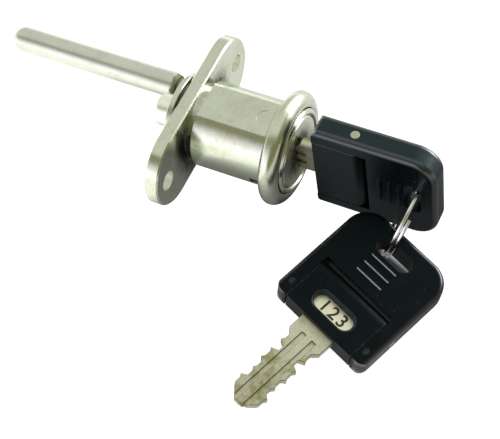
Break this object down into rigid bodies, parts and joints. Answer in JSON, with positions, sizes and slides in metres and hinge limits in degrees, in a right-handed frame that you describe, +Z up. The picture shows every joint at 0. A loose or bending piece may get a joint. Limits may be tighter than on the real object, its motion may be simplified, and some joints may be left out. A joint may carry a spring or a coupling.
{
  "type": "pedestal lock",
  "caption": "Flanged cylinder lock with an eccentric drive pin, a turning wafer plug and two folding keys on a split ring.",
  "frame": {"origin": "on the plug's axis, in the front face of the screw flange, midway between its two holes", "axes": "+X along the flange towards the drive pin's side, +Y to the rear along the drive pin, +Z up along the upright keyway"},
  "size_m": [0.0735, 0.1078, 0.0273],
  "materials": {
    "nickel_zinc": "satin nickel plate on zinc die casting",
    "nickel_steel": "satin nickel plate",
    "bright_steel": "bright plated",
    "steel": "plain ground steel",
    "key_brass": "brushed nickel-plated brass",
    "wafer_brass": "stamped",
    "black_plastic": "moulded, soft sheen"
  },
  "bodies": {
    "lock_body": {"housing": "nickel_zinc", "trim_ring": "nickel_zinc", "stop_pin": "steel", "thrust_washer": "steel"},
    "plug": {"plug_core": "nickel_zinc", "driver_disc": "nickel_zinc", "drive_pin": "nickel_steel", "retaining_cap": "bright_steel", "wafer_spring_1": "steel", "wafer_spring_2": "steel", "wafer_spring_3": "steel", "wafer_spring_4": "steel", "wafer_spring_5": "steel"},
    "wafer_1": {"wafer_1": "wafer_brass"},
    "wafer_2": {"wafer_2": "wafer_brass"},
    "wafer_3": {"wafer_3": "wafer_brass"},
    "wafer_4": {"wafer_4": "wafer_brass"},
    "wafer_5": {"wafer_5": "wafer_brass"},
    "key_1": {"key_1_blade": "key_brass", "key_1_carrier": "black_plastic"},
    "key_1_grip": {"key_1_head": "black_plastic", "key_1_hinge_pin": "steel"},
    "split_ring": {"key_ring": "bright_steel"},
    "key_2_grip": {"key_2_head": "black_plastic", "key_2_hinge_pin": "steel"},
    "key_2": {"key_2_blade": "key_brass", "key_2_carrier": "black_plastic"}
  },
  "joints": [
    {"name": "plug_turn", "type": "hinge", "parent": "lock_body", "child": "plug", "pos_m": [0, 0, 0], "axis": [0, 1, 0], "range_deg": [0, 180]},
    {"name": "key_1_slide", "type": "slide", "parent": "plug", "child": "key_1", "axis": [0, -1, 0], "range_m": [0, 0.02]},
    {"name": "wafer_1_slide", "type": "slide", "parent": "plug", "child": "wafer_1", "axis": [0, 0, 1], "range_m": [0, 0.0007]},
    {"name": "wafer_2_slide", "type": "slide", "parent": "plug", "child": "wafer_2", "axis": [0, 0, -1], "range_m": [0, 0.0007]},
    {"name": "wafer_3_slide", "type": "slide", "parent": "plug", "child": "wafer_3", "axis": [0, 0, 1], "range_m": [0, 0.0007]},
    {"name": "wafer_4_slide", "type": "slide", "parent": "plug", "child": "wafer_4", "axis": [0, 0, -1], "range_m": [0, 0.0007]},
    {"name": "wafer_5_slide", "type": "slide", "parent": "plug", "child": "wafer_5", "axis": [0, 0, 1], "range_m": [0, 0.0007]},
    {"name": "key_1_fold", "type": "hinge", "parent": "key_1", "child": "key_1_grip", "pos_m": [0, -0.0348, 0], "axis": [0, 0, 1], "range_deg": [-45, 90]},
    {"name": "ring_swing", "type": "hinge", "parent": "key_1_grip", "child": "split_ring", "pos_m": [0, -0.04793, 0.00231], "axis": [1, 0, 0], "range_deg": [-25, 6]},
    {"name": "key_2_swing", "type": "hinge", "parent": "split_ring", "child": "key_2_grip", "pos_m": [-0.01174, -0.04562, -0.00741], "axis": [-0.1338, -0.3195, 0.9381], "range_deg": [-25, 30]},
    {"name": "key_2_fold", "type": "hinge", "parent": "key_2_grip", "child": "key_2", "pos_m": [-0.02464, -0.04263, -0.00781], "axis": [0.3519, 0.9119, 0.2113], "range_deg": [-90, 90]}
  ],
  "couplings": [
    {"joint": "wafer_1_slide", "follows": "key_1_slide", "ratio": 0.035},
    {"joint": "wafer_2_slide", "follows": "key_1_slide", "ratio": 0.035},
    {"joint": "wafer_3_slide", "follows": "key_1_slide", "ratio": 0.035},
    {"joint": "wafer_4_slide", "follows": "key_1_slide", "ratio": 0.035},
    {"joint": "wafer_5_slide", "follows": "key_1_slide", "ratio": 0.035}
  ]
}
